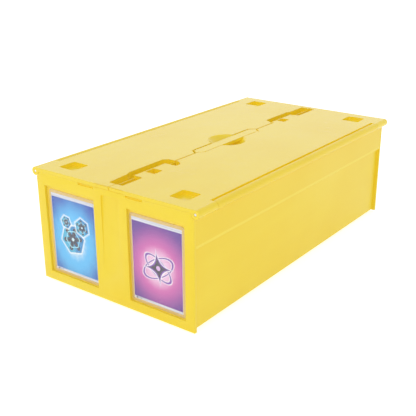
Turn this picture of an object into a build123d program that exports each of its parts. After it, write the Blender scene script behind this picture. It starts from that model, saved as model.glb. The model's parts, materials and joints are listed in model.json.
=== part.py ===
"""Two-row trading card box with two lids hinged on its long sides.

Millimetres. X runs across the two rows, Y along them (front face at -Y), Z up from the
undersides of the stacking feet. The origin is the middle of the footprint.
"""
from build123d import *
import os

os.makedirs("parts", exist_ok=True)

# ---- whole box ----
FOOT_H = 2.0              # stacking feet under the floor
PANEL_W = 193.3           # width of the end panels
BOX_L = 371.3             # front face to back face
PANEL_H = 113.55          # end panel, bottom edge to top edge
PANEL_T = 3.0
WALL_T = 2.2
FLOOR_LIFT = 1.0          # the tub's underside sits this much above the panels' bottom edges
SIDE_RECESS = 3.2         # lower side wall lies this far inside the panel edges
STEP_H = 80.7             # height at which the side wall steps out to the panel edges
WALL_RIB_X = 46.0         # stiffening ribs under the floor
WALL_RIB_T = 1.8
FLOOR_EDGE_R = 1.2

# ---- hinges ----
HINGE_X = 98.3
HINGE_H = 113.3           # axis above the panels' bottom edges
BARREL_R = 4.25
PIN_R = 1.4
PIN_FIT = 0.05            # radial running clearance in the lid knuckles
PIN_CHAMFER = 0.3
PIN_SET_BACK = 0.3        # pin ends lie this far inside the knuckles' end faces
KNUCKLE_L = 26.9          # lid knuckle at each end of a lid
KNUCKLE_GAP = 0.4
SWING_GAP = 0.35          # clearance round a turning knuckle
BARREL_FILLET = 1.6

# ---- lids ----
LID_T = 3.8
LID_SKIN = 2.0
LID_GAP = 0.05            # lid underside to panel top
LID_EDGE_X = 93.6         # outer edge of the lid plate, beside the barrel
SEAM = 1.0                # gap between the two lids
END_SEAM = 0.3            # the gap narrows where it runs out to the front and rear edges
RIM_W = 2.4
RIB_T = 1.8
RIB_START_X = 24.0        # the ribbed cells begin this far from the seam
RIB_ROWS = 6
POCKET = 20.5             # square stacking pockets
POCKET_DEPTH = 4.0
POCKET_X, POCKET_Y = 69.2, 161.7
POCKET_CORNER = 2.2

# ---- interlocking slots along the seam ----
WELL_DEPTH = 7.0          # slot floors below the lids' top face
RIDGE_T = 1.3             # low wall along the seam between the slots of the two lids
RIDGE_DROP = 2.0          # its top below the lids' top face
WELL_FLOOR_T = 1.3
WELL_WALL_T = 1.5
SLOT_LEFT_X = -12.6       # far wall of the slot beside a tongue
SLOT_TAPER = 4.4          # slanted steps between the wide and the narrow run of a slot
SLOT_CORNER = 1.6
SLOT_SWEEP = 4.5          # slanted far corner where a slot turns towards the right lid
FRONT_TIP_X = -8.1
BLOCK_LEFT_X = -10.4
TONGUE_X = -3.2           # edge of a tongue of the right lid
FRONT_BLOCK_Y = (-175.8, -148.3)
FRONT_TONGUE_Y = (-148.3, -102.1)
FRONT_HOOK_Y = (-102.1, -90.3)
BACK_TONGUE_Y = (93.0, 137.5)
BACK_BLOCK_Y = (148.8, 177.8)
BACK_END_Y = 139.0         # front end of the rear slot in the right lid
FRONT_BLOCK_X = 8.0
BACK_BLOCK_X = 7.0
HOOK_X = 10.4
HOOK_SLOPE = 5.5
TONGUE_POCKETS = (        # closed pockets in the tongues: X range, Y range
    ((-1.4, 9.7), (-133.4, -121.5)),
    ((-1.4, 8.0), (103.6, 115.6)),
)
TONGUE_POCKET_DEPTH = 5.4

# ---- pull bar and finger scoop ----
BAR_X = -6.7              # left edge of the bar, over the left lid's side
BAR_RIGHT_X = 5.3
BAR_END_Y = 57.2
BAR_CHAMFER = 6.2
BAR_CORNER = 2.5
BAR_GAP = 1.7
BAR_HOLLOW = 0.8          # underside of the bar above the lid's underside, over the scoop
BAR_GROOVE = (0.7, 0.45)  # fine groove along the bar's right side: width, depth
BAR_GROOVE_RUNS = (((-0.2, -56.6), (5.5, -48.5)), ((5.5, -48.5), (5.3, -17.5)), ((5.3, 21.0), (5.8, 48.5)))
BAR_SLIT = (1.3, 1.8)     # deeper slit across the bar's rear end: width, depth
BAR_SLIT_RUN = ((-1.0, 57.6), (6.8, 50.4))
SCOOP_X, SCOOP_Y = -2.0, 1.6
SCOOP_R = 21.3
SCOOP_DEPTH = 9.0

# ---- front panel ----
WINDOW_W, WINDOW_H = 66.0, 92.1
WINDOW_X = 53.5
WINDOW_MID_H = 55.2       # window centre above the panel's bottom edge
LIP_T = 2.0               # window frame in front of the clear pane
PANE_W, PANE_H, PANE_T = 70.0, 96.0, 0.9
PANE_FIT = 0.2            # pane edge to the pocket that holds it
CARD_W, CARD_H, CARD_T = 63.0, 88.0, 0.4
CARD_CORNER = 3.0
CARD_LIFT = 0.3           # card's lower edge above the window's lower edge
CARD_SHIFT = {-1: 1.0, 1: -0.9}      # where each loose card stands across its pocket
BACKING_W, BACKING_T = 74.0, 2.4
TRAY_DEPTH = 0.8          # pocket for the card in the backing
BACKING_CORNER = 3.0
STRIP_W, STRIP_TOP_H, STRIP_END_H, STRIP_DEPTH = 21.5, 107.3, 33.0, 1.5
NOTCH_X, NOTCH_W, NOTCH_H, NOTCH_DEPTH = 29.7, 19.8, 2.2, 1.5

# ---- inside ----
DIVIDER_TOP_T, DIVIDER_LOW_T = 2.4, 4.4
DIVIDER_GAP = 0.5         # divider top to the undersides of the slot wells
DIP_GAP = 0.6             # divider dip to the underside of the scoop
DIP_MARGIN, DIP_SLOPE = 3.5, 6.0
PARTITION_T = 2.0
PARTITION_H = 100.0
PARTITION_Y = 82.5
PARTITION_CORNER = 2.5
SLIDE_GAP = 0.4
THUMB_W, THUMB_DEPTH = 30.0, 12.0
FRAME_INSET, FRAME_W, FRAME_T = 5.0, 2.0, 1.5    # stiffening frame on the back of a partition

# ---- stacking feet ----
FOOT = 19.6
FOOT_CORNER = 1.6
ROOT = 0.2                # how far an added rib or foot reaches into the plate it stands on

# ---- worked out ----
PANEL_BASE = FOOT_H
PANEL_TOP = PANEL_BASE + PANEL_H
LID_BOTTOM = PANEL_TOP + LID_GAP
LID_TOP = LID_BOTTOM + LID_T
HINGE_Z = PANEL_BASE + HINGE_H
STEP_Z = PANEL_BASE + STEP_H
TUB_BASE = PANEL_BASE + FLOOR_LIFT
FLOOR_TOP = TUB_BASE + WALL_T
LOW_X = PANEL_W / 2 - SIDE_RECESS
BAND_X = PANEL_W / 2
END_Y = BOX_L / 2
PANEL_IN_Y = END_Y - PANEL_T
WINDOW_Z = PANEL_BASE + WINDOW_MID_H
WINDOW_LOW = WINDOW_Z - WINDOW_H / 2
WELL_Z = LID_TOP - WELL_DEPTH
WELL_BASE = WELL_Z - WELL_FLOOR_T
DIVIDER_TOP = WELL_BASE - DIVIDER_GAP
RIDGE_TOP = LID_TOP - RIDGE_DROP
SCOOP_BASE = LID_TOP - SCOOP_DEPTH - WELL_WALL_T
LEDGE_Z = STEP_Z + WALL_T
SEAM_X = SEAM / 2
KNUCKLE_START = END_Y - KNUCKLE_L
BARREL_HALF = KNUCKLE_START - KNUCKLE_GAP
DISH_R = (SCOOP_R**2 + SCOOP_DEPTH**2) / (2 * SCOOP_DEPTH)
DISH_CENTRE_Z = LID_TOP + DISH_R - SCOOP_DEPTH
BAR_SIDE_X = BAR_X - BAR_GAP        # edge of the left lid beside the bar


def save(part, name):
    """Label a finished piece and write it."""
    part.label = name
    export_step(part, f"parts/{name}.step")


def block(x, y, z, mode=Mode.ADD):
    """A box between two corner values on each axis."""
    with Locations(((x[0] + x[1]) / 2, (y[0] + y[1]) / 2, (z[0] + z[1]) / 2)):
        Box(x[1] - x[0], y[1] - y[0], z[1] - z[0], mode=mode)


def prism(points, low, high, mode=Mode.ADD, corner=0.0, corner_x=()):
    """A polygon on XY, raised between two heights; corners that lie on the given X values are rounded."""
    with BuildSketch(Plane.XY.offset(low)) as outline:
        with BuildLine():
            Polyline(*points, close=True)
        make_face()
        if corner_x:
            fillet([v for v in outline.vertices() if min(abs(v.X - x) for x in corner_x) < 0.01], corner)
    extrude(outline.sketch, amount=high - low, mode=mode)


def cross_rod(x, z, radius, low, high, mode=Mode.ADD):
    """A round bar along Y."""
    with BuildSketch(Plane.XZ.offset(-low)) as section:
        with Locations((x, z)):
            Circle(radius)
    extrude(section.sketch, amount=low - high, mode=mode)


# ---------------------------------------------------------------- tub
def side_wall(side):
    """Stepped side wall with the long hinge barrel along its top."""
    profile = [
        (LOW_X - WALL_T, TUB_BASE),
        (LOW_X, TUB_BASE),
        (LOW_X, STEP_Z),
        (BAND_X, STEP_Z),
        (BAND_X, HINGE_Z),
        (BAND_X - WALL_T, HINGE_Z),
        (BAND_X - WALL_T, LEDGE_Z),
        (LOW_X - WALL_T, LEDGE_Z),
    ]
    with BuildSketch(Plane.XZ.offset(-PANEL_IN_Y)) as wall:
        with BuildLine():
            Polyline(*[(side * x, z) for x, z in profile], close=True)
        make_face()
    extrude(wall.sketch, amount=2 * PANEL_IN_Y)
    # barrel and its root fillet, along the middle only
    root_dx = BAND_X + BARREL_FILLET - HINGE_X
    root_drop = ((BARREL_R + BARREL_FILLET) ** 2 - root_dx**2) ** 0.5
    with BuildSketch(Plane.XZ.offset(-BARREL_HALF)) as barrel:
        with BuildLine():
            Polyline(
                (side * BAND_X, HINGE_Z),
                (side * BAND_X, HINGE_Z - root_drop),
                (side * (HINGE_X + root_dx), HINGE_Z - root_drop),
                (side * HINGE_X, HINGE_Z),
                close=True,
            )
        make_face()
        with Locations((side * (BAND_X + BARREL_FILLET), HINGE_Z - root_drop)):
            Circle(BARREL_FILLET, mode=Mode.SUBTRACT)
        with Locations((side * HINGE_X, HINGE_Z)):
            Circle(BARREL_R)
    extrude(barrel.sketch, amount=2 * BARREL_HALF)
    cross_rod(side * HINGE_X, HINGE_Z, PIN_R, -BARREL_HALF - 1, BARREL_HALF + 1, Mode.SUBTRACT)
    # room for the lid's knuckles at both ends
    for start, stop in ((-END_Y, -BARREL_HALF), (BARREL_HALF, END_Y)):
        cross_rod(side * HINGE_X, HINGE_Z, BARREL_R + SWING_GAP, start, stop, Mode.SUBTRACT)


def make_tub():
    with BuildPart() as tub:
        block((-LOW_X + 0.5, LOW_X - 0.5), (-PANEL_IN_Y, PANEL_IN_Y), (TUB_BASE, FLOOR_TOP))
        for side in (-1, 1):
            side_wall(side)
        # stacking feet, where the pockets of the box below lie
        foot_top = TUB_BASE + ROOT
        with BuildSketch(Plane.XY):
            with GridLocations(2 * POCKET_X, 2 * POCKET_Y, 2, 2):
                RectangleRounded(FOOT, FOOT, FOOT_CORNER)
        extrude(amount=foot_top)
        # stiffening ribs under the floor, between the end panels
        for x in (-WALL_RIB_X, WALL_RIB_X):
            block((x - WALL_RIB_T / 2, x + WALL_RIB_T / 2), (-PANEL_IN_Y, PANEL_IN_Y),
                  (PANEL_BASE, TUB_BASE + ROOT))
        long_low = [e for e in tub.edges().filter_by(Axis.Y) if abs(e.center().Z - TUB_BASE) < 0.01
                    and abs(abs(e.center().X) - LOW_X) < 0.01]
        fillet(long_low, FLOOR_EDGE_R)
    save(tub.part, "tub")


# ---------------------------------------------------------------- end panels
def panel_blank(face_y, inner_y):
    """End panel outline with its top corners cleared for the lid knuckles."""
    low, high = min(face_y, inner_y), max(face_y, inner_y)
    block((-BAND_X, BAND_X), (low, high), (PANEL_BASE, PANEL_TOP))
    for side in (-1, 1):
        cross_rod(side * HINGE_X, HINGE_Z, BARREL_R + SWING_GAP, low - 1, high + 1, Mode.SUBTRACT)


def make_front_panel():
    with BuildPart() as panel:
        panel_blank(-END_Y, -PANEL_IN_Y)
        for side in (-1, 1):
            mid = side * WINDOW_X
            block((mid - WINDOW_W / 2, mid + WINDOW_W / 2), (-END_Y - 1, -PANEL_IN_Y + 1),
                  (WINDOW_LOW, WINDOW_LOW + WINDOW_H), Mode.SUBTRACT)
            # pocket for the clear pane behind the window frame
            half_w, half_h = PANE_W / 2 + PANE_FIT, PANE_H / 2 + PANE_FIT
            block((mid - half_w, mid + half_w), (-END_Y + LIP_T, -PANEL_IN_Y + 1),
                  (WINDOW_Z - half_h, WINDOW_Z + half_h), Mode.SUBTRACT)
            # finger notch under the lid's front edge
            block((side * NOTCH_X - NOTCH_W / 2, side * NOTCH_X + NOTCH_W / 2),
                  (-END_Y - 1, -END_Y + NOTCH_DEPTH), (PANEL_TOP - NOTCH_H, PANEL_TOP + 1), Mode.SUBTRACT)
        # sunken strip between the windows, running out towards the bottom
        with BuildSketch(Plane.YZ.offset(-STRIP_W / 2)):
            with BuildLine():
                Polyline((-END_Y - 1, PANEL_BASE + STRIP_TOP_H),
                         (-END_Y + STRIP_DEPTH, PANEL_BASE + STRIP_TOP_H),
                         (-END_Y, PANEL_BASE + STRIP_END_H),
                         (-END_Y - 1, PANEL_BASE + STRIP_END_H), close=True)
            make_face()
        extrude(amount=STRIP_W, mode=Mode.SUBTRACT)
    save(panel.part, "front_panel")


def make_back_panel():
    with BuildPart() as panel:
        panel_blank(END_Y, PANEL_IN_Y)
    save(panel.part, "back_panel")


def make_window_fittings(side, name):
    """Clear pane, display card and the backing plate whose shallow tray holds the card behind the pane."""
    mid = side * WINDOW_X
    with BuildPart() as pane:
        block((mid - PANE_W / 2, mid + PANE_W / 2), (-END_Y + LIP_T, -END_Y + LIP_T + PANE_T),
              (WINDOW_Z - PANE_H / 2, WINDOW_Z + PANE_H / 2))
    save(pane.part, f"{name}_window_pane")
    with BuildPart() as backing:
        block((mid - BACKING_W / 2, mid + BACKING_W / 2),
              (-PANEL_IN_Y, -PANEL_IN_Y + BACKING_T), (FLOOR_TOP, PANEL_TOP))
        block((mid - WINDOW_W / 2, mid + WINDOW_W / 2),
              (-PANEL_IN_Y - 1, -PANEL_IN_Y + TRAY_DEPTH), (WINDOW_LOW, PANEL_TOP + 1), Mode.SUBTRACT)
        shoulders = [e for e in backing.edges().filter_by(Axis.Y)
                     if e.center().Z > PANEL_TOP - 0.1 and abs(e.center().X - mid) > BACKING_W / 2 - 0.1]
        fillet(shoulders, BACKING_CORNER)
    save(backing.part, f"{name}_card_backing")
    with BuildPart() as card:
        with BuildSketch(Plane.XZ.offset(PANEL_IN_Y)):
            with Locations((mid + CARD_SHIFT[side], WINDOW_LOW + CARD_LIFT + CARD_H / 2)):
                RectangleRounded(CARD_W, CARD_H, CARD_CORNER)
        extrude(amount=-CARD_T)
    save(card.part, f"{name}_display_card")


# ---------------------------------------------------------------- inside
def make_divider():
    dip_y = SCOOP_R + DIP_MARGIN
    dip_z = SCOOP_BASE - DIP_GAP
    with BuildPart() as divider:
        with BuildSketch(Plane.XZ.offset(-PANEL_IN_Y)):
            with BuildLine():
                Polyline(
                    (-DIVIDER_LOW_T / 2, FLOOR_TOP), (DIVIDER_LOW_T / 2, FLOOR_TOP),
                    (DIVIDER_LOW_T / 2, LEDGE_Z), (DIVIDER_TOP_T / 2, LEDGE_Z),
                    (DIVIDER_TOP_T / 2, DIVIDER_TOP), (-DIVIDER_TOP_T / 2, DIVIDER_TOP),
                    (-DIVIDER_TOP_T / 2, LEDGE_Z), (-DIVIDER_LOW_T / 2, LEDGE_Z), close=True)
            make_face()
        extrude(amount=2 * PANEL_IN_Y)
        # dip that clears the scoop of the right lid
        with BuildSketch(Plane.YZ.offset(-DIVIDER_LOW_T)):
            with BuildLine():
                Polyline((SCOOP_Y - dip_y - DIP_SLOPE, DIVIDER_TOP + 1),
                         (SCOOP_Y - dip_y - DIP_SLOPE, DIVIDER_TOP),
                         (SCOOP_Y - dip_y, dip_z), (SCOOP_Y + dip_y, dip_z),
                         (SCOOP_Y + dip_y + DIP_SLOPE, DIVIDER_TOP),
                         (SCOOP_Y + dip_y + DIP_SLOPE, DIVIDER_TOP + 1),
                         close=True)
            make_face()
        extrude(amount=2 * DIVIDER_LOW_T, mode=Mode.SUBTRACT)
    save(divider.part, "centre_divider")


def make_partition(side, y, name):
    """Sliding partition whose upper part rides on the ledges of the wall and the divider."""
    low_in, low_out = DIVIDER_LOW_T / 2 + SLIDE_GAP, LOW_X - WALL_T - SLIDE_GAP
    high_in, high_out = DIVIDER_TOP_T / 2 + SLIDE_GAP, BAND_X - WALL_T - SLIDE_GAP
    low_z = FLOOR_TOP + SLIDE_GAP
    high_z = FLOOR_TOP + PARTITION_H
    ear_z = LEDGE_Z + SLIDE_GAP
    mid = (low_in + low_out) / 2
    with BuildPart() as partition:
        with BuildSketch(Plane.XZ.offset(-y - PARTITION_T / 2)):
            with BuildLine():
                Polyline(*[(side * px, pz) for px, pz in (
                    (low_in, low_z), (low_out, low_z), (low_out, ear_z), (high_out, ear_z),
                    (high_out, high_z), (high_in, high_z), (high_in, ear_z), (low_in, ear_z))],
                    close=True)
            make_face()
            with Locations((side * mid, high_z)):
                SlotOverall(THUMB_W, 2 * THUMB_DEPTH, mode=Mode.SUBTRACT)
        extrude(amount=PARTITION_T)
        corners = [e for e in partition.edges().filter_by(Axis.Y) if e.center().Z > high_z - 0.1]
        fillet(corners, PARTITION_CORNER)
        # stiffening frame along the foot and both sides of the back
        back = y + PARTITION_T / 2
        near, far = low_in + FRAME_INSET, low_out - FRAME_INSET
        for x0, x1 in ((near, near + FRAME_W), (far - FRAME_W, far)):
            block(tuple(sorted((side * x0, side * x1))), (back - ROOT, back + FRAME_T),
                  (low_z, ear_z - FRAME_W))
        block(tuple(sorted((side * near, side * far))), (back - ROOT, back + FRAME_T),
              (low_z, low_z + FRAME_W))
    save(partition.part, name)


# ---------------------------------------------------------------- hinge pins
def make_pins():
    for side, name in ((-1, "left"), (1, "right")):
        with BuildPart() as pin:
            cross_rod(side * HINGE_X, HINGE_Z, PIN_R, -END_Y + PIN_SET_BACK, END_Y - PIN_SET_BACK)
            chamfer(pin.edges().filter_by(GeomType.CIRCLE), PIN_CHAMFER)
        save(pin.part, f"{name}_hinge_pin")


# ---------------------------------------------------------------- lids
def lid_ribs(side):
    """Hollow the outer part of the lid's underside into ribbed cells, leaving the pocket wells."""
    outer_x = LID_EDGE_X - RIM_W
    cell_x = (outer_x - RIB_START_X - RIB_T) / 2
    cell_y = (BOX_L - 2 * RIM_W - (RIB_ROWS - 1) * RIB_T) / RIB_ROWS
    with BuildSketch(Plane.XY.offset(LID_BOTTOM)) as cells:
        with Locations((side * (RIB_START_X + outer_x) / 2, 0)):
            with GridLocations(cell_x + RIB_T, cell_y + RIB_T, 2, RIB_ROWS):
                Rectangle(cell_x, cell_y)
    extrude(cells.sketch, amount=LID_T - LID_SKIN, mode=Mode.SUBTRACT)
    well = POCKET / 2 + WELL_WALL_T
    for y in (-POCKET_Y, POCKET_Y):
        block((side * POCKET_X - well, side * POCKET_X + well), (y - well, y + well),
              (LID_TOP - POCKET_DEPTH - WELL_FLOOR_T, LID_TOP - LID_SKIN + ROOT))
    with BuildSketch(Plane.XY.offset(LID_TOP - POCKET_DEPTH)) as pockets:
        with Locations((side * POCKET_X, -POCKET_Y), (side * POCKET_X, POCKET_Y)):
            RectangleRounded(POCKET, POCKET, POCKET_CORNER)
    extrude(pockets.sketch, amount=POCKET_DEPTH + 1, mode=Mode.SUBTRACT)


def lid_knuckles(side):
    """End knuckles with their webs, bored for the pin."""
    for start, stop in ((-END_Y, -KNUCKLE_START), (KNUCKLE_START, END_Y)):
        cross_rod(side * HINGE_X, HINGE_Z, BARREL_R, start, stop)
        edge, axis = side * (LID_EDGE_X - 1), side * HINGE_X
        block((min(edge, axis), max(edge, axis)), (start, stop), (LID_BOTTOM, LID_TOP))
        cross_rod(side * HINGE_X, HINGE_Z, PIN_R + PIN_FIT, start - 1, stop + 1, Mode.SUBTRACT)


def left_seam():
    """Inner edge of the left lid, front to back: straight, notched round tongues and bar."""
    tongue = TONGUE_X - SEAM
    bar_end = BAR_END_Y + SEAM
    return [
        (-END_SEAM / 2, -END_Y), (-END_SEAM / 2, FRONT_BLOCK_Y[0]), (-SEAM_X, FRONT_BLOCK_Y[0]),
        (-SEAM_X, FRONT_TONGUE_Y[0] - SEAM), (tongue, FRONT_TONGUE_Y[0] - SEAM),
        (tongue, FRONT_TONGUE_Y[1] + SEAM), (-SEAM_X, FRONT_TONGUE_Y[1] + SEAM),
        (-SEAM_X, -bar_end), (BAR_SIDE_X, -bar_end + BAR_CHAMFER),
        (BAR_SIDE_X, bar_end - BAR_CHAMFER), (-SEAM_X, bar_end),
        (-SEAM_X, BACK_TONGUE_Y[0] - SEAM), (tongue, BACK_TONGUE_Y[0] - SEAM),
        (tongue, BACK_TONGUE_Y[1] + SEAM), (-SEAM_X, BACK_TONGUE_Y[1] + SEAM),
        (-SEAM_X, BACK_BLOCK_Y[1]), (-END_SEAM / 2, BACK_BLOCK_Y[1]), (-END_SEAM / 2, END_Y),
    ]


def right_seam():
    """Inner edge of the right lid, front to back, with its tongues and the pull bar."""
    return [
        (END_SEAM / 2, -END_Y), (END_SEAM / 2, FRONT_BLOCK_Y[0]), (SEAM_X, FRONT_BLOCK_Y[0]),
        (SEAM_X, FRONT_TONGUE_Y[0]), (TONGUE_X, FRONT_TONGUE_Y[0]),
        (TONGUE_X, FRONT_TONGUE_Y[1]), (SEAM_X, FRONT_TONGUE_Y[1]),
        (SEAM_X, -BAR_END_Y), (BAR_X, -BAR_END_Y + BAR_CHAMFER),
        (BAR_X, BAR_END_Y - BAR_CHAMFER), (SEAM_X, BAR_END_Y),
        (SEAM_X, BACK_TONGUE_Y[0]), (TONGUE_X, BACK_TONGUE_Y[0]),
        (TONGUE_X, BACK_TONGUE_Y[1]), (SEAM_X, BACK_TONGUE_Y[1]),
        (SEAM_X, BACK_BLOCK_Y[1]), (END_SEAM / 2, BACK_BLOCK_Y[1]), (END_SEAM / 2, END_Y),
    ]


def left_slots(grow, ridge):
    """Plan of the two slots in the left lid; grow widens them to the outside of their wells,
    and ridge keeps them off the seam by a wall's thickness."""
    tongue, far, near, seam = TONGUE_X - SEAM, SLOT_LEFT_X - grow, BLOCK_LEFT_X - grow, -SEAM_X - ridge
    start, turn = FRONT_BLOCK_Y[0] - grow, FRONT_HOOK_Y[1] + grow
    front = [
        (seam, start), (FRONT_TIP_X - grow, start), (near, FRONT_BLOCK_Y[1]),
        (far, FRONT_BLOCK_Y[1] + SLOT_TAPER), (far, turn - SLOT_SWEEP), (far + SLOT_SWEEP, turn), (seam, turn),
        (seam, FRONT_TONGUE_Y[1] + SEAM), (tongue, FRONT_TONGUE_Y[1] + SEAM),
        (tongue, FRONT_TONGUE_Y[0] - SEAM), (seam, FRONT_TONGUE_Y[0] - SEAM),
    ]
    begin, stop = BACK_TONGUE_Y[0] - grow, BACK_BLOCK_Y[1] + grow
    back = [
        (seam, stop), (near, stop), (near, BACK_BLOCK_Y[0]),
        (far, BACK_BLOCK_Y[0] - SLOT_TAPER), (far, begin + SLOT_TAPER), (tongue, begin),
        (tongue, BACK_TONGUE_Y[1] + SEAM), (seam, BACK_TONGUE_Y[1] + SEAM),
    ]
    return front, back


def right_slots(grow):
    """Plan of the slot ends that lie in the right lid, open towards the seam."""
    block_x, turn = FRONT_BLOCK_X + grow, FRONT_HOOK_Y[1] + grow
    front_block = [
        (SEAM_X, FRONT_BLOCK_Y[0] - grow), (block_x, FRONT_BLOCK_Y[0] - grow),
        (block_x, FRONT_BLOCK_Y[1] + grow), (SEAM_X, FRONT_BLOCK_Y[1] + grow)]
    front_hook = [
        (SEAM_X, FRONT_HOOK_Y[0] - grow), (HOOK_X + grow, FRONT_HOOK_Y[0] - grow),
        (HOOK_X + grow, turn - HOOK_SLOPE), (HOOK_X + grow - HOOK_SLOPE, turn), (SEAM_X, turn)]
    back_end = [
        (SEAM_X, BACK_END_Y - grow), (BACK_BLOCK_X + grow, BACK_END_Y - grow),
        (BACK_BLOCK_X + grow, BACK_BLOCK_Y[1] + grow), (SEAM_X, BACK_BLOCK_Y[1] + grow)]
    return front_block, front_hook, back_end


def bowl(left, right, radius, top):
    """The scoop's sphere between two X values, up to a height."""
    with BuildPart() as piece:
        with Locations((SCOOP_X, SCOOP_Y, DISH_CENTRE_Z)):
            Sphere(radius)
        with Locations(((left + right) / 2, SCOOP_Y, top - DISH_R)):
            Box(right - left, 4 * SCOOP_R, 2 * DISH_R, mode=Mode.INTERSECT)
    return piece.part


def groove(start, stop, width, depth):
    """Straight groove in the lid's top face."""
    (x0, y0), (x1, y1) = start, stop
    length = ((x1 - x0) ** 2 + (y1 - y0) ** 2) ** 0.5
    dx, dy = (y1 - y0) / length * width / 2, (x0 - x1) / length * width / 2
    prism([(x0 + dx, y0 + dy), (x1 + dx, y1 + dy), (x1 - dx, y1 - dy), (x0 - dx, y0 - dy)],
          LID_TOP - depth, LID_TOP + 1, Mode.SUBTRACT)


def make_left_lid():
    far_left = SCOOP_X - 2 * SCOOP_R
    shell = bowl(far_left, BAR_SIDE_X, DISH_R + WELL_WALL_T, LID_BOTTOM + ROOT)
    hollow = bowl(far_left, BAR_SIDE_X + 1, DISH_R, LID_TOP + 1)
    rounded = (SLOT_LEFT_X, SLOT_LEFT_X + SLOT_SWEEP, BLOCK_LEFT_X, FRONT_TIP_X)
    with BuildPart() as lid:
        prism([(-LID_EDGE_X, -END_Y)] + left_seam() + [(-LID_EDGE_X, END_Y)], LID_BOTTOM, LID_TOP,
              corner=BAR_CORNER, corner_x=(BAR_SIDE_X,))
        lid_ribs(-1)
        lid_knuckles(-1)
        for well in left_slots(WELL_WALL_T, 0):
            prism(well, WELL_BASE, LID_BOTTOM + ROOT)
        for slot in left_slots(0, 0):
            prism(slot, RIDGE_TOP, LID_TOP + 1, Mode.SUBTRACT, SLOT_CORNER, rounded)
        for slot in left_slots(0, RIDGE_T):
            prism(slot, WELL_Z, RIDGE_TOP + ROOT, Mode.SUBTRACT, SLOT_CORNER, rounded)
        add(shell)
        add(hollow, mode=Mode.SUBTRACT)
    save(lid.part, "left_lid")


def make_right_lid():
    far_right, well_left = SCOOP_X + 2 * SCOOP_R, BAR_SIDE_X + SEAM
    shell = bowl(well_left, far_right, DISH_R + WELL_WALL_T, LID_BOTTOM + ROOT)
    hollow = bowl(well_left - 1, BAR_RIGHT_X, DISH_R, LID_BOTTOM + BAR_HOLLOW)
    mouth = bowl(BAR_RIGHT_X - 0.01, far_right, DISH_R, LID_TOP + 1)
    with BuildPart() as lid:
        prism(right_seam() + [(LID_EDGE_X, END_Y), (LID_EDGE_X, -END_Y)], LID_BOTTOM, LID_TOP,
              corner=BAR_CORNER, corner_x=(BAR_X,))
        lid_ribs(1)
        lid_knuckles(1)
        add(shell)
        # lips under the tongues, down beside the slot floors of the left lid
        for y0, y1 in (FRONT_TONGUE_Y, BACK_TONGUE_Y):
            block((TONGUE_X, TONGUE_X + WELL_WALL_T), (y0, y1), (WELL_BASE, LID_BOTTOM + ROOT))
            for end in (y0, y1 - WELL_WALL_T):
                block((TONGUE_X, SEAM_X + WELL_WALL_T), (end, end + WELL_WALL_T),
                      (WELL_BASE, LID_BOTTOM + ROOT))
        for well in right_slots(WELL_WALL_T):
            prism(well, WELL_BASE, LID_BOTTOM + ROOT)
        for slot in right_slots(0):
            prism(slot, WELL_Z, LID_TOP + 1, Mode.SUBTRACT, SLOT_CORNER, (FRONT_BLOCK_X, HOOK_X, BACK_BLOCK_X))
        for (x0, x1), (y0, y1) in TONGUE_POCKETS:
            floor = LID_TOP - TONGUE_POCKET_DEPTH
            block((TONGUE_X, x1 + WELL_WALL_T), (y0 - WELL_WALL_T, y1 + WELL_WALL_T),
                  (floor - WELL_FLOOR_T, LID_BOTTOM + ROOT))
            block((x0, x1), (y0, y1), (floor, LID_TOP + 1), Mode.SUBTRACT)
        add(hollow, mode=Mode.SUBTRACT)
        add(mouth, mode=Mode.SUBTRACT)
        for start, stop in BAR_GROOVE_RUNS:
            groove(start, stop, *BAR_GROOVE)
        groove(*BAR_SLIT_RUN, *BAR_SLIT)
    save(lid.part, "right_lid")


make_tub()
make_front_panel()
make_back_panel()
for row_side, row in ((-1, "left"), (1, "right")):
    make_window_fittings(row_side, row)
make_divider()
for row_side, row in ((-1, "left"), (1, "right")):
    for row_y, place in ((-PARTITION_Y, "front"), (PARTITION_Y, "rear")):
        make_partition(row_side, row_y, f"{row}_{place}_partition")
make_pins()
make_left_lid()
make_right_lid()
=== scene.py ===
"""Looks of a two-row card box with hinged lids: satin yellow plastic, steel pins and printed cards."""

import json
import math

import bpy
from mathutils import Matrix, Vector


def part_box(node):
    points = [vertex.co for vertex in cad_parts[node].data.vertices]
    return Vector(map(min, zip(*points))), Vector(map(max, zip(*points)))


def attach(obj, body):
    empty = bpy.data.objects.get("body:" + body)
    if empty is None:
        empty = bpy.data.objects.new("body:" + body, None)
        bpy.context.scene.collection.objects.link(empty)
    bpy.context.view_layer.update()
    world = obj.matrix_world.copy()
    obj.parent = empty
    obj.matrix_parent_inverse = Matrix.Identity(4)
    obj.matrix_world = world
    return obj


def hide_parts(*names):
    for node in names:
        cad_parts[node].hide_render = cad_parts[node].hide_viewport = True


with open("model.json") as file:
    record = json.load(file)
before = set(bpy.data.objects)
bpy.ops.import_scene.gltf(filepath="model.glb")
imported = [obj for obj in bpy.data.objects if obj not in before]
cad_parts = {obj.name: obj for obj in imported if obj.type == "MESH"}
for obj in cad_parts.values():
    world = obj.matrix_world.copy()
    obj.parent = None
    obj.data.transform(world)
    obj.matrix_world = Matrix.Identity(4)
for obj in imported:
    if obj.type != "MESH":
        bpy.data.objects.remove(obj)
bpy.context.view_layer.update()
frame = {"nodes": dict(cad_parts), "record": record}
NODES = frame["nodes"]
BODY_OF = {node: body for body, nodes in frame["record"]["behaviour"]["bodies"].items() for node in nodes}

MM = 0.001

# ---------------------------------------------------------------- camera, as the photograph was taken
CAMERA_POS = Vector((0.4460, -0.6330, 0.3427))
CAMERA_AZIMUTH = math.radians(36.775)
CAMERA_ELEVATION = math.radians(21.316)
CAMERA_ROLL = math.radians(-0.243)
SENSOR_MM = 36.0
FOCAL_PX = 739.5
IMAGE_PX = 416
VIEW_END = 50


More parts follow.
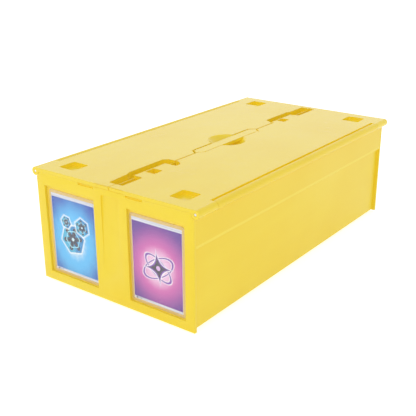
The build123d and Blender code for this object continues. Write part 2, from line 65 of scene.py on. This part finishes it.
def add_camera():
    data = bpy.data.cameras.new("camera")
    data.sensor_width = SENSOR_MM
    data.lens = SENSOR_MM * FOCAL_PX / IMAGE_PX
    data.clip_end = VIEW_END
    camera = bpy.data.objects.new("camera", data)
    bpy.context.scene.collection.objects.link(camera)
    level = math.cos(CAMERA_ELEVATION)
    forward = Vector((-math.sin(CAMERA_AZIMUTH) * level, math.cos(CAMERA_AZIMUTH) * level,
                      -math.sin(CAMERA_ELEVATION)))
    turn = forward.to_track_quat("-Z", "Y").to_matrix().to_4x4()
    camera.matrix_world = Matrix.Translation(CAMERA_POS) @ turn @ Matrix.Rotation(CAMERA_ROLL, 4, "Z")
    bpy.context.scene.camera = camera


# ---------------------------------------------------------------- colours
def srgb(red, green, blue):
    """Linear colour of an 8-bit sRGB triple."""
    shares = [channel / 255 for channel in (red, green, blue)]
    linear = [c / 12.92 if c <= 0.04045 else ((c + 0.055) / 1.055) ** 2.4 for c in shares]
    return (*linear, 1.0)


BLACK = (0.0, 0.0, 0.0, 1.0)
WHITE = (1.0, 1.0, 1.0, 1.0)
YELLOW = (0.900, 0.690, 0.030, 1.0)
# deep tone of the random colour drift, also the painted shade on the tub's wall above its step
YELLOW_DEEP_AND_PAINTED_SHADE = (0.860, 0.610, 0.018, 1.0)
# lighter tone of rubbed edges, also their painted highlight and the painted highlight on the tub's brow
YELLOW_RUBBED_AND_HIGHLIGHT = (0.920, 0.730, 0.060, 1.0)
# painted shade along the lids' seam, which widens the dark line between them
YELLOW_SEAM_PAINTED_SHADE = (0.80, 0.52, 0.010, 1.0)
# painted light: the deeper tone and the glow painted into gaps and inner corners
YELLOW_PAINTED_CAVITY_TONE = (0.920, 0.640, 0.020, 1.0)
PAINTED_GAP_GLOW = (0.122, 0.106, 0.006, 1.0)
DUST = srgb(238, 232, 214)
STEEL = (0.78, 0.77, 0.74, 1.0)
STEEL_DULL = (0.52, 0.50, 0.47, 1.0)
PANE = (0.90, 0.92, 0.94, 1.0)
PANE_SPECK = (0.97, 0.97, 0.97, 1.0)
CARD_STOCK = srgb(232, 202, 126)
CARD_STOCK_SHADE = srgb(222, 188, 110)
CARD_WORN = srgb(246, 240, 226)
FOIL = srgb(232, 233, 242)
FOIL_SHADE = srgb(204, 207, 220)
FOIL_LINE = srgb(238, 240, 246)


# ---------------------------------------------------------------- shader helpers
class Tree:
    """Short way to place and link shader nodes."""

    def __init__(self, tree):
        self.tree = tree

    def node(self, kind, **settings):
        made = self.tree.nodes.new(kind)
        for key, value in settings.items():
            setattr(made, key, value)
        return made

    def put(self, socket, value):
        """Link an output, or write a plain number or colour, into a socket."""
        if isinstance(value, bpy.types.NodeSocket):
            self.tree.links.new(value, socket)
        elif value is not None:
            socket.default_value = value

    def math(self, operation, *values, clamp=False):
        made = self.node("ShaderNodeMath", operation=operation, use_clamp=clamp)
        for socket, value in zip(made.inputs, values):
            self.put(socket, value)
        return made.outputs[0]

    def plus(self, a, b, clamp=False):
        return self.math("ADD", a, b, clamp=clamp)

    def minus(self, a, b, clamp=False):
        return self.math("SUBTRACT", a, b, clamp=clamp)

    def times(self, a, b):
        return self.math("MULTIPLY", a, b)

    def larger(self, a, b):
        return self.math("MAXIMUM", a, b)

    def unsigned(self, a):
        return self.math("ABSOLUTE", a)

    def mix(self, amount, first, second):
        made = self.node("ShaderNodeMix", data_type="RGBA")
        self.put(made.inputs[0], amount)
        self.put(made.inputs[6], first)
        self.put(made.inputs[7], second)
        return made.outputs[2]

    def fade(self, value, low, high, start=0.0, end=1.0, smooth=True):
        """Smooth step of a value from low..high to start..end."""
        made = self.node("ShaderNodeMapRange", interpolation_type="SMOOTHSTEP" if smooth else "LINEAR")
        for socket, number in zip(made.inputs, (value, low, high, start, end)):
            self.put(socket, number)
        return made.outputs[0]

    def axes(self, vector):
        """X, Y and Z of a vector."""
        made = self.node("ShaderNodeSeparateXYZ")
        self.put(made.inputs[0], vector)
        return made.outputs

    def facing(self):
        """Normal of the surface, before any bump."""
        return self.node("ShaderNodeNewGeometry").outputs["Normal"]

    def place(self, scale=(1, 1, 1), shift=(0, 0, 0), turn=(0, 0, 0)):
        """Object coordinates, moved, turned and scaled."""
        spot = self.node("ShaderNodeTexCoord")
        mapping = self.node("ShaderNodeMapping")
        self.put(mapping.inputs["Vector"], spot.outputs["Object"])
        for name, value in (("Location", shift), ("Rotation", turn), ("Scale", scale)):
            mapping.inputs[name].default_value = value
        return mapping.outputs[0]

    def noise(self, where, scale, detail=2.0, roughness=0.5, distortion=0.0):
        made = self.node("ShaderNodeTexNoise")
        self.put(made.inputs["Vector"], where)
        self.put(made.inputs["Scale"], scale)
        for name, value in (("Detail", detail), ("Roughness", roughness), ("Distortion", distortion)):
            made.inputs[name].default_value = value
        return made.outputs["Fac"]

    def rounded(self, radius, samples):
        """Normal that takes in the faces within a radius, as if the edges were rounded."""
        made = self.node("ShaderNodeBevel", samples=samples)
        self.put(made.inputs["Radius"], radius)
        return made.outputs[0]

    def bump(self, height, strength, distance, normal=None):
        made = self.node("ShaderNodeBump")
        self.put(made.inputs["Height"], height)
        self.put(made.inputs["Normal"], normal)
        made.inputs["Strength"].default_value = strength
        made.inputs["Distance"].default_value = distance
        return made.outputs[0]

    def use(self, group, **values):
        """Place a node group; underscores in the names stand for spaces."""
        made = self.node("ShaderNodeGroup")
        made.node_tree = group
        for key, value in values.items():
            self.put(made.inputs[key.replace("_", " ")], value)
        return made.outputs


def new_group(name, inputs, outputs):
    """An empty node group with named sockets, its tree, what it is given and what it puts out."""
    group = bpy.data.node_groups.new(name, "ShaderNodeTree")
    for label, value in inputs.items():
        kind = "Color" if isinstance(value, tuple) else "Float"
        socket = group.interface.new_socket(label, in_out="INPUT", socket_type=f"NodeSocket{kind}")
        socket.default_value = value
    for label, kind in outputs.items():
        group.interface.new_socket(label, in_out="OUTPUT", socket_type=f"NodeSocket{kind}")
    tree = Tree(group)
    given = tree.node("NodeGroupInput").outputs
    out = tree.node("NodeGroupOutput").inputs
    return group, tree, given, out


def new_material(name, kind=Tree):
    """A new material, its tree as a Tree or a kind of it, and its main shader's inputs."""
    material = bpy.data.materials.new(name)
    material.use_nodes = True
    return material, kind(material.node_tree), material.node_tree.nodes["Principled BSDF"].inputs


# ---------------------------------------------------------------- shared effects
def make_edge_wear_and_paint():
    """Mask of edges, in patches or evenly; it places rubbed wear and painted highlights on edges, and the
    painted shade along the lids' seam.
    """
    group, tree, given, out = new_group(
        "edge_wear_and_paint", {"Width": 0.8 * MM, "Break Up": 220.0, "Even": 0.0}, {"Mask": "Float"})
    agree = tree.node("ShaderNodeVectorMath", operation="DOT_PRODUCT")
    tree.put(agree.inputs[0], tree.rounded(given["Width"], samples=6))
    tree.put(agree.inputs[1], tree.facing())
    edge = tree.fade(agree.outputs["Value"], 0.995, 0.86)
    patches = tree.fade(tree.noise(tree.place(), given["Break Up"]), 0.35, 0.62)
    tree.put(out["Mask"], tree.times(edge, tree.larger(patches, given["Even"])))
    return group


def make_moulded_skin():
    """Colour drift, flow marks, satin grain and hairlines of a moulded face."""
    group, tree, given, out = new_group(
        "moulded_skin",
        {"Tone": YELLOW, "Deep Tone": YELLOW_DEEP_AND_PAINTED_SHADE, "Roughness": 0.42, "Drift": 0.35},
        {"Color": "Color", "Roughness": "Float", "Height": "Float"})
    clouds = tree.noise(tree.place(), 11.0, 3.0)
    flow = tree.noise(tree.place(scale=(46.0, 5.0, 46.0)), 1.0, 4.0, 0.6, 0.4)
    grain = tree.noise(tree.place(), 2600.0, 2.0, 0.6)
    pebble = tree.noise(tree.place(), 900.0, 3.0, 0.55)
    drift = tree.plus(tree.times(clouds, 0.6), tree.times(flow, 0.4))
    amount = tree.times(tree.fade(drift, 0.38, 0.64), given["Drift"])
    speck = tree.times(tree.fade(pebble, 0.62, 0.74), 0.10)
    tree.put(out["Color"], tree.mix(tree.plus(amount, speck), given["Tone"], given["Deep Tone"]))
    across = tree.noise(tree.place(scale=(22.0, 900.0, 900.0), turn=(0.0, 0.0, 0.35)), 1.0, 2.0, 0.5)
    along = tree.noise(tree.place(scale=(800.0, 18.0, 800.0), turn=(0.1, 0.0, -0.2)), 1.0, 2.0, 0.5)
    hair = tree.larger(tree.fade(across, 0.68, 0.74), tree.fade(along, 0.69, 0.75))
    rough = tree.plus(given["Roughness"], tree.times(tree.minus(clouds, 0.5), 0.16))
    rough = tree.plus(rough, tree.times(tree.minus(grain, 0.5), 0.12))
    tree.put(out["Roughness"], tree.minus(rough, tree.times(hair, 0.04), clamp=True))
    height = tree.plus(tree.times(grain, 0.5), tree.times(pebble, 0.5))
    tree.put(out["Height"], tree.minus(height, tree.times(hair, 0.10)))
    return group


def make_fine_dust():
    """Pale dust that settles thinly, in patches, on upward faces."""
    group, tree, given, out = new_group("fine_dust", {"Amount": 0.1}, {"Mask": "Float"})
    upward = tree.fade(tree.axes(tree.facing())["Z"], 0.4, 0.95)
    patches = tree.times(tree.fade(tree.noise(tree.place(), 38.0, 4.0, 0.65), 0.42, 0.72),
                         tree.fade(tree.noise(tree.place(), 1400.0, 2.0), 0.40, 0.60))
    tree.put(out["Mask"], tree.times(tree.times(upward, patches), given["Amount"]))
    return group


def make_soft_arris():
    """Normal that rounds a moulded piece's edges by a small radius."""
    group, tree, given, out = new_group("soft_arris", {"Radius": 0.3 * MM}, {"Normal": "Vector"})
    tree.put(out["Normal"], tree.rounded(given["Radius"], samples=8))
    return group


def make_painted_cavity_light():
    """Mask of narrow gaps and inner corners, for the painted glow and painted deeper tone that stand in for
    light coming through the plastic.

    It rises from 0 to 1 as the share of open sky falls from Open to Deep.
    """
    group, tree, given, out = new_group(
        "painted_cavity_light", {"Distance": 6 * MM, "Open": 0.45, "Deep": 0.12}, {"Mask": "Float"})
    around = tree.node("ShaderNodeAmbientOcclusion", samples=8)
    tree.put(around.inputs["Distance"], given["Distance"])
    tree.put(out["Mask"], tree.fade(around.outputs["AO"], given["Open"], given["Deep"], smooth=False))
    return group


EDGE_WEAR_AND_PAINT = make_edge_wear_and_paint()
PAINTED_CAVITY_LIGHT = make_painted_cavity_light()
SOFT_ARRIS = make_soft_arris()
MOULDED_SKIN = make_moulded_skin()
FINE_DUST = make_fine_dust()


# ---------------------------------------------------------------- plastic
PLASTIC_IOR = 1.49
ARRIS_RADIUS = 0.35 * MM
SKIN_BUMP = {"strength": 0.10, "distance": 0.25 * MM}
# share of the painted deeper tone in gaps and inner corners
PAINTED_CAVITY_TONE_SHARE = 0.25
DUST_ROUGHNESS = 0.5
# heights in metres over which the tub's wall steps out, with a painted shade on the wall above, and where the
# painted highlight on its brow starts and ends
BAND_STEP = (0.0825, 0.0829)
PAINTED_BROW_START = (0.0822, 0.0828)
PAINTED_BROW_END = (0.0856, 0.0848)
# distance in metres from the middle plane within which the lids' edges belong to their seam and take its
# painted shade
SEAM_REACH = (0.020, 0.016)
# looks of an edge: width in metres, evenness from 0 to 1, colour, change of roughness
# rubbed edges, lighter partly as wear and partly as a painted highlight
POLISHED_AND_HIGHLIT_EDGE = (0.9 * MM, 0.0, YELLOW_RUBBED_AND_HIGHLIGHT, -0.12)
# painted shade along the lids' seam
SEAM_PAINTED_SHADE = (2.0 * MM, 1.0, YELLOW_SEAM_PAINTED_SHADE, 0.6)


def yellow_plastic(name, roughness, rub_and_painted_light, dust, drift=0.35, gaps=(0.45, 0.12), painted_band_shade=0.0,
                   edge_look=POLISHED_AND_HIGHLIT_EDGE):
    """Satin yellow moulding.

    rub, dust, drift and band say how strongly the edges, the dust, the colour drift and the painted shade on
    the tub's wall above its step show; any band also lays a painted highlight along the step's brow. The edges
    are lighter as rubbed wear and as a painted highlight, and on the lids they carry a painted shade along
    their seam.
    gaps says at which shares of open sky a gap starts to take its painted glow and deeper tone, and is full of
    them.
    """
    material, tree, shader = new_material(name)
    width, even, edge_tone, edge_roughness = edge_look
    x, _, z = tree.axes(tree.place())
    skin = tree.use(MOULDED_SKIN, Tone=YELLOW, Deep_Tone=YELLOW_DEEP_AND_PAINTED_SHADE, Roughness=roughness, Drift=drift)
    tone = skin["Color"]
    if painted_band_shade:
        # painted shade on the tub's wall above the step, and a painted highlight along the step's brow
        tone = tree.mix(tree.fade(z, *BAND_STEP, 0.0, painted_band_shade), tone, YELLOW_DEEP_AND_PAINTED_SHADE)
        tone = tree.mix(tree.times(tree.fade(z, *PAINTED_BROW_START), tree.fade(z, *PAINTED_BROW_END)), tone, YELLOW_RUBBED_AND_HIGHLIGHT)
    edge = tree.use(EDGE_WEAR_AND_PAINT, Width=width, Even=even)["Mask"]
    # on the lids the edge tone is a painted shade, kept to the edges near their seam
    if edge_look is SEAM_PAINTED_SHADE:
        edge = tree.times(edge, tree.fade(tree.unsigned(x), *SEAM_REACH))
    dusty = tree.use(FINE_DUST, Amount=dust)["Mask"]
    # painted light in gaps and inner corners: a deeper orange tone and a faint emitted glow, set by how little
    # open sky they see
    inner = tree.use(PAINTED_CAVITY_LIGHT, Open=gaps[0], Deep=gaps[1])["Mask"]
    # edge tone: rubbed wear with a painted highlight, or on the lids the painted shade along their seam
    tone = tree.mix(tree.times(edge, rub_and_painted_light), tone, edge_tone)
    tone = tree.mix(tree.times(inner, PAINTED_CAVITY_TONE_SHARE), tone, YELLOW_PAINTED_CAVITY_TONE)
    tree.put(shader["Base Color"], tree.mix(dusty, tone, DUST))
    tree.put(shader["Emission Color"], tree.mix(inner, BLACK, PAINTED_GAP_GLOW))
    shader["Emission Strength"].default_value = 1.0
    polished = tree.plus(skin["Roughness"], tree.times(edge, edge_roughness))
    tree.put(shader["Roughness"], tree.plus(polished, tree.times(dusty, DUST_ROUGHNESS), clamp=True))
    arris = tree.use(SOFT_ARRIS, Radius=ARRIS_RADIUS)["Normal"]
    tree.put(shader["Normal"], tree.bump(skin["Height"], normal=arris, **SKIN_BUMP))
    shader["IOR"].default_value = PLASTIC_IOR
    return material


# ---------------------------------------------------------------- steel
# radii in metres between which the turning marks on a pin's end set in
PIN_CUT_EDGE = (0.0012, 0.0011)
# radians per metre of radius, which makes a turning mark every 0.15 mm
TURNING_MARKS = 42000.0


def pin_steel(name, side):
    """Drawn wire with turning marks on its cut ends."""
    material, tree, shader = new_material(name)
    low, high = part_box(f"{side}_hinge_pin")
    middle = (low + high) / 2
    drawn = tree.noise(tree.place(scale=(2600.0, 30.0, 2600.0)), 1.0, 3.0, 0.6)
    patches = tree.noise(tree.place(), 160.0, 3.0)
    x, _, z = tree.axes(tree.place(shift=(-middle.x, 0.0, -middle.z)))
    radius = tree.math("SQRT", tree.plus(tree.math("POWER", x, 2.0), tree.math("POWER", z, 2.0)))
    rings = tree.math("SINE", tree.times(radius, TURNING_MARKS))
    cut = tree.times(tree.fade(radius, *PIN_CUT_EDGE), 0.5)
    tree.put(shader["Base Color"], tree.mix(tree.fade(patches, 0.35, 0.75), STEEL, STEEL_DULL))
    tree.put(shader["Roughness"], tree.plus(tree.times(drawn, 0.22), 0.22))
    tree.put(shader["Normal"], tree.bump(tree.plus(drawn, tree.times(rings, cut)), 0.25, 0.04 * MM))
    shader["Metallic"].default_value = 1.0
    return material


# ---------------------------------------------------------------- clear pane
def clear_sheet():
    """Thin clear sheet, seen as a faint film with a polished surface."""
    material, tree, shader = new_material("clear_sheet_polished")
    smears = tree.fade(tree.noise(tree.place(scale=(1.0, 1.0, 0.6)), 34.0, 4.0, 0.6, 0.8), 0.5, 0.78)
    specks = tree.fade(tree.noise(tree.place(), 1500.0, 2.0), 0.70, 0.78)
    tree.put(shader["Roughness"], tree.plus(tree.times(smears, 0.10), 0.04))
    tree.put(shader["Base Color"], tree.mix(specks, PANE, PANE_SPECK))
    film = tree.plus(tree.times(smears, 0.02), tree.times(specks, 0.05))
    tree.put(shader["Alpha"], tree.plus(film, 0.03))
    tree.put(shader["Normal"], tree.bump(smears, 0.02, 0.1 * MM))
    shader["IOR"].default_value = PLASTIC_IOR
    return material


# ---------------------------------------------------------------- printed cards
class Print(Tree):
    """Flat drawing on the card's face, in millimetres from its middle."""

    def centre_on(self, middle):
        spot = self.place(scale=(1000, 1000, 1000), shift=(-middle.x * 1000, 0, -middle.z * 1000))
        self.x, _, self.z = self.axes(spot)

    def about(self, x, z, degrees=0):
        """Coordinates about a point, turned."""
        c, s = math.cos(math.radians(degrees)), math.sin(math.radians(degrees))
        dx, dz = self.minus(self.x, x), self.minus(self.z, z)
        u = self.plus(self.times(dx, c), self.times(dz, s))
        v = self.minus(self.times(dz, c), self.times(dx, s))
        return u, v

    def length(self, u, v):
        return self.math("SQRT", self.plus(self.times(u, u), self.times(v, v)))

    def hexagon(self, u, v):
        """Distance measure whose level lines are hexagons."""
        u, v = self.unsigned(u), self.unsigned(v)
        return self.larger(v, self.plus(self.times(u, 0.866), self.times(v, 0.5)))

    def star(self, u, v):
        """Distance measure whose level lines are four-pointed stars."""
        root_u, root_v = (self.math("SQRT", self.unsigned(w)) for w in (u, v))
        return self.math("POWER", self.plus(root_u, root_v), 2.0)

    def disc(self, measure, edge, soft=0.5):
        """1 inside a level line, 0 outside."""
        return self.fade(measure, edge + soft / 2, edge - soft / 2)

    def ring(self, measure, edge, width, soft=0.4):
        """1 within half a width of a level line, 0 away from it."""
        away = self.unsigned(self.minus(measure, edge))
        return self.fade(away, width / 2 + soft / 2, width / 2 - soft / 2)

    def over(self, colour, mask, paint, strength=1.0):
        """Paint laid over a colour where a mask is 1."""
        if strength != 1.0:
            mask = self.times(mask, strength)
        return self.mix(mask, colour, paint)


# crystal picture, in mm and degrees: the glow's middle and rays, each crystal's middle, turn and half width
GLOW_MIDDLE = (0, -5)
GLOW_RAYS = 14.0
CRYSTALS = ((-2.5, -3.0, 12, 13.5), (11.0, 12.5, 38, 8.0), (-10.5, 13.5, -8, 5.6))
# parts of a crystal as shares of its half width
ARM_HALF_WIDTH = 0.17
ARM_LENGTH = 0.84
CORE = 0.38
RING = 0.60
RING_WIDTH = 0.08
EYE = 0.13
ICE_GLOW = srgb(98, 196, 250)
ICE_NIGHT = srgb(60, 96, 190)
ICE_LIGHT = srgb(222, 242, 255)
ICE_PLATE = srgb(86, 186, 224)
ICE_PLATE_SHADE = srgb(62, 148, 208)
ICE_ARM = srgb(78, 80, 94)
ICE_CORE = srgb(70, 72, 88)
ICE_RING = srgb(170, 228, 244)
ICE_EYE = srgb(214, 240, 250)

# star picture, in mm and degrees: the star's middle and turn, each orbit's turn and half length
STAR_MIDDLE = (1, -3)
STAR_TURN = 8
ORBITS = ((30, 19.0), (-36, 17.0))
ORBIT_FLATNESS = 2.2
STAR_GLOW = srgb(218, 110, 184)
STAR_NIGHT = srgb(108, 66, 158)
STAR_LIGHT = srgb(250, 224, 244)
ORBIT_VIOLET = srgb(138, 86, 180)
STAR_RIM = srgb(146, 98, 188)
STAR_BODY = srgb(76, 68, 84)
STAR_HEART = srgb(226, 186, 232)


def crystal_art(draw):
    """Cluster of ice crystals on a blue glow."""
    u, v = draw.about(*GLOW_MIDDLE)
    away = draw.length(draw.times(u, 1.1), draw.times(v, 0.9))
    rays = draw.math("SINE", draw.times(draw.math("ARCTAN2", v, u), GLOW_RAYS))
    away = draw.plus(away, draw.times(rays, 0.7))
    art = draw.mix(draw.fade(away, 22, 46), ICE_GLOW, ICE_NIGHT)
    art = draw.over(art, draw.fade(away, 21, 8), ICE_LIGHT, 0.8)
    for x, z, turn, size in CRYSTALS:
        u, v = draw.about(x, z, turn)
        measure = draw.hexagon(u, v)
        plate = draw.disc(measure, size)
        art = draw.over(art, draw.disc(measure, size + 1.6, 2.2), WHITE, 0.7)
        art = draw.over(art, plate, ICE_PLATE)
        art = draw.over(art, draw.times(plate, draw.fade(u, -0.3, 0.3)), ICE_PLATE_SHADE)
        for spin in (0, 60, 120):
            beside = draw.unsigned(draw.about(x, z, turn + spin)[1])
            stripe = draw.disc(beside, size * ARM_HALF_WIDTH, 0.4)
            arm = draw.times(stripe, draw.disc(measure, size * ARM_LENGTH))
            art = draw.over(art, arm, ICE_ARM)
        art = draw.over(art, draw.disc(measure, size * CORE), ICE_CORE)
        art = draw.over(art, draw.ring(measure, size * RING, size * RING_WIDTH), ICE_RING)
        art = draw.over(art, draw.disc(measure, size * EYE), ICE_EYE)
    return art


def star_art(draw):
    """Dark four-pointed star in a crossing pair of orbits on a pink glow, with small stars around."""
    u, v = draw.about(*STAR_MIDDLE, STAR_TURN)
    away = draw.length(u, v)
    art = draw.mix(draw.fade(away, 18, 45), STAR_GLOW, STAR_NIGHT)
    art = draw.over(art, draw.fade(away, 24, 10), STAR_LIGHT, 0.75)
    for turn, half_length in ORBITS:
        along, beside = draw.about(*STAR_MIDDLE, turn)
        orbit = draw.length(along, draw.times(beside, ORBIT_FLATNESS))
        art = draw.over(art, draw.ring(orbit, half_length, 4.2, 1.6), WHITE, 0.8)
        art = draw.over(art, draw.ring(orbit, half_length, 2.2), ORBIT_VIOLET)
    points = draw.star(u, v)
    art = draw.over(art, draw.disc(points, 21.0, 3.0), WHITE, 0.9)
    art = draw.over(art, draw.disc(points, 18.0), STAR_RIM)
    art = draw.over(art, draw.disc(points, 14.0), STAR_BODY)
    art = draw.over(art, draw.disc(away, 2.4), STAR_HEART)
    sparkle = draw.node("ShaderNodeTexVoronoi", voronoi_dimensions="3D", distance="MINKOWSKI")
    draw.put(sparkle.inputs["Vector"], draw.place(scale=(60, 0, 60), shift=(0.21, 0, 0.37)))
    for name, value in (("Scale", 1.0), ("Exponent", 0.5), ("Randomness", 0.9)):
        sparkle.inputs[name].default_value = value
    stars = draw.times(draw.fade(sparkle.outputs["Distance"], 0.24, 0.13), draw.fade(away, 20, 26))
    return draw.over(art, stars, WHITE, 0.9)


# the print's layout in mm from the card's middle
PRINT_DROP = 0.5
FOIL_START = (38.0, 38.3)
FOIL_LINE_AT = 38.15
SIDE_LINE_AT = 28.9
SIDE_LINE_END = (41.2, 40.8)
BORDER_SIDES = (28.8, 29.1)
BORDER_ENDS = (40.8, 41.1)
DOTS_Z = -39.8
DOT_DARK = srgb(66, 74, 96)
DOT_GREY = srgb(120, 128, 150)
# small printed dots: x, radius, colour
DOTS = ((-25.5, 1.1, DOT_DARK), (-22.4, 0.7, DOT_GREY), (-20.3, 0.7, DOT_GREY))


def card_print(side, drawing):
    """Coated card: a drawing between two foil strips, within a border of bare stock."""
    material, draw, shader = new_material(f"{side}_card_print", Print)
    low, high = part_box(f"{side}_display_card")
    draw.centre_on((low + high) / 2)
    beside, above = draw.unsigned(draw.x), draw.unsigned(draw.z)
    above_print = draw.unsigned(draw.plus(draw.z, PRINT_DROP))
    strip = draw.fade(above_print, *FOIL_START)
    brushed = draw.noise(draw.place(scale=(30, 30, 900)), 1.0, 3.0)
    foil = draw.mix(draw.fade(brushed, 0.3, 0.7), FOIL, FOIL_SHADE)
    face = draw.mix(strip, drawing(draw), foil)
    side_line = draw.times(draw.ring(beside, SIDE_LINE_AT, 0.45, 0.3), draw.fade(above, *SIDE_LINE_END))
    line = draw.larger(draw.ring(above_print, FOIL_LINE_AT, 0.3, 0.3), side_line)
    face = draw.over(face, line, FOIL_LINE, 0.8)
    for x, radius, paint in DOTS:
        face = draw.over(face, draw.disc(draw.length(*draw.about(x, DOTS_Z)), radius, 0.3), paint, 0.8)
    border = draw.larger(draw.fade(beside, *BORDER_SIDES), draw.fade(above, *BORDER_ENDS))
    fibres = draw.noise(draw.place(), 700.0, 4.0, 0.7)
    face = draw.mix(border, face, draw.mix(draw.fade(fibres, 0.3, 0.7), CARD_STOCK, CARD_STOCK_SHADE))
    edge = draw.use(EDGE_WEAR_AND_PAINT, Width=0.4 * MM, Break_Up=500.0)["Mask"]
    face = draw.over(face, edge, CARD_WORN, 0.6)
    ink = draw.noise(draw.place(), 5200.0, 1.0)
    face = draw.over(face, draw.fade(ink, 0.55, 0.75), WHITE, 0.05)
    draw.put(shader["Base Color"], face)
    roughness = draw.fade(strip, 0.0, 1.0, 0.30, 0.22, smooth=False)
    draw.put(shader["Roughness"], draw.plus(roughness, draw.times(fibres, 0.12)))
    draw.put(shader["Normal"], draw.bump(fibres, 0.08, 0.06 * MM))
    return material


# ---------------------------------------------------------------- pieces
SAME_CORNER = 0.003 * MM
ROUNDED_EDGE = math.radians(38)
SMOOTH_EDGE = math.radians(25)


def pick(piece):
    bpy.ops.object.select_all(action="DESELECT")
    piece.select_set(True)
    bpy.context.view_layer.objects.active = piece


def soft_edged(node, width, material):
    """A copy of a CAD node that stands in its place, its edges rounded by a width in metres or, at 0, not."""
    piece = bpy.data.objects.new(f"{node}_moulding", NODES[node].data.copy())
    bpy.context.scene.collection.objects.link(piece)
    pick(piece)
    if width:
        bpy.ops.object.mode_set(mode="EDIT")
        bpy.ops.mesh.select_all(action="SELECT")
        bpy.ops.mesh.remove_doubles(threshold=SAME_CORNER)
        bpy.ops.object.mode_set(mode="OBJECT")
        rounding = piece.modifiers.new("rounding", "BEVEL")
        rounding.width = width
        rounding.segments = 2
        rounding.limit_method = "ANGLE"
        rounding.angle_limit = ROUNDED_EDGE
        rounding.use_clamp_overlap = False
        bpy.ops.object.modifier_apply(modifier="rounding")
        bpy.ops.object.shade_smooth_by_angle(angle=SMOOTH_EDGE)
    else:
        bpy.ops.object.shade_smooth()
    piece.data.materials.clear()
    piece.data.materials.append(material)
    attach(piece, BODY_OF[node])
    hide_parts(node)


def dress(node, material):
    for slot in NODES[node].material_slots:
        slot.material = material


# ---------------------------------------------------------------- studio
FLOOR_SIZE = 12
FLOOR_TONE = (0.86, 0.86, 0.86, 1.0)
FLOOR_LIFT = 0.14
FLOOR_LIFT_SEEN = 0.48
SKY_STRENGTH = 0.91
SKY_MORE_IN_GLOSS = 0.28
SKY_SEEN = 1.02
# the sky dims along a way with these shares of X and Z, over this stretch of it, to this share of its strength
SKY_DIM_WAY = (0.8, 0.6)
SKY_DIM_RANGE = (0.3, 1.0)
SKY_DIM_SHARE = 0.75
LAMP_AIM = Vector((0, 0, 0.05))
LAMP_SIZE = 1.6


def add_floor():
    """Pale floor that takes shadows and looks white to the camera."""
    bpy.ops.object.select_all(action="DESELECT")
    bpy.ops.mesh.primitive_plane_add(size=FLOOR_SIZE, location=(0, 0, 0))
    floor = bpy.context.object
    floor.name = "floor"
    material = bpy.data.materials.new("studio_floor")
    material.use_nodes = True
    nodes = material.node_tree.nodes
    nodes.remove(nodes["Principled BSDF"])
    tree = Tree(material.node_tree)
    diffuse = tree.node("ShaderNodeBsdfDiffuse")
    diffuse.inputs["Color"].default_value = FLOOR_TONE
    lift = tree.node("ShaderNodeEmission")
    path = tree.node("ShaderNodeLightPath").outputs
    seen = tree.larger(path["Is Camera Ray"], path["Is Glossy Ray"])
    seen = tree.larger(seen, path["Is Transmission Ray"])
    tree.put(lift.inputs["Strength"], tree.plus(tree.times(seen, FLOOR_LIFT_SEEN), FLOOR_LIFT))
    both = tree.node("ShaderNodeAddShader")
    tree.put(both.inputs[0], diffuse.outputs[0])
    tree.put(both.inputs[1], lift.outputs[0])
    tree.put(nodes["Material Output"].inputs["Surface"], both.outputs[0])
    floor.data.materials.append(material)


def add_world():
    """White soft sky, brighter in reflections than on matt faces."""
    world = bpy.data.worlds.new("studio")
    bpy.context.scene.world = world
    world.use_nodes = True
    tree = Tree(world.node_tree)
    background = world.node_tree.nodes["Background"]
    background.inputs["Color"].default_value = WHITE
    path = tree.node("ShaderNodeLightPath").outputs
    x, _, z = tree.axes(tree.node("ShaderNodeTexCoord").outputs["Generated"])
    right_up = tree.plus(tree.times(x, SKY_DIM_WAY[0]), tree.times(z, SKY_DIM_WAY[1]))
    dim = tree.fade(right_up, *SKY_DIM_RANGE, 1.0, SKY_DIM_SHARE)
    light = tree.times(tree.plus(tree.times(path["Is Glossy Ray"], SKY_MORE_IN_GLOSS), SKY_STRENGTH), dim)
    tree.put(background.inputs["Strength"], tree.larger(light, tree.times(path["Is Camera Ray"], SKY_SEEN)))


def add_lamp(name, place, power):
    data = bpy.data.lights.new(name, "AREA")
    data.shape = "DISK"
    data.size = LAMP_SIZE
    data.energy = power
    lamp = bpy.data.objects.new(name, data)
    bpy.context.scene.collection.objects.link(lamp)
    turn = (LAMP_AIM - Vector(place)).to_track_quat("-Z", "Y").to_matrix().to_4x4()
    lamp.matrix_world = Matrix.Translation(Vector(place)) @ turn


add_camera()
add_world()
add_floor()
add_lamp("key", (-0.5, -1.9, 0.9), 5.5)
add_lamp("side", (2.0, -0.4, 0.4), 6.6)
bpy.context.scene.view_settings.view_transform = "Standard"

shell_plastic = yellow_plastic("yellow_plastic_shell", 0.38, rub_and_painted_light=0.35, dust=0.04, painted_band_shade=0.35)
panel_plastic = yellow_plastic("yellow_plastic_panel", 0.42, rub_and_painted_light=0.35, dust=0.04, gaps=(0.80, 0.25))
lid_plastic = yellow_plastic("yellow_plastic_lid", 0.22, rub_and_painted_light=0.9, dust=0.07, gaps=(0.95, 0.28),
                             edge_look=SEAM_PAINTED_SHADE)
inner_plastic = yellow_plastic("yellow_plastic_inner", 0.48, rub_and_painted_light=0.3, dust=0.05, drift=0.45)
# each moulding's edge rounding in mm and its plastic
MOULDINGS = {
    "tub": (0, shell_plastic),
    "front_panel": (0.15, panel_plastic),
    "back_panel": (0.5, panel_plastic),
    "left_lid": (0, lid_plastic),
    "right_lid": (0, lid_plastic),
    "centre_divider": (0, inner_plastic),
    "left_card_backing": (0.2, inner_plastic),
    "right_card_backing": (0.2, inner_plastic),
    "left_front_partition": (0.3, inner_plastic),
    "left_rear_partition": (0.3, inner_plastic),
    "right_front_partition": (0.3, inner_plastic),
    "right_rear_partition": (0.3, inner_plastic),
}
for node, (width, plastic) in MOULDINGS.items():
    soft_edged(node, width * MM, plastic)

pane_sheet = clear_sheet()
for side, drawing in (("left", crystal_art), ("right", star_art)):
    dress(f"{side}_display_card", card_print(side, drawing))
    dress(f"{side}_hinge_pin", pin_steel(f"{side}_pin_steel", side))
    dress(f"{side}_window_pane", pane_sheet)
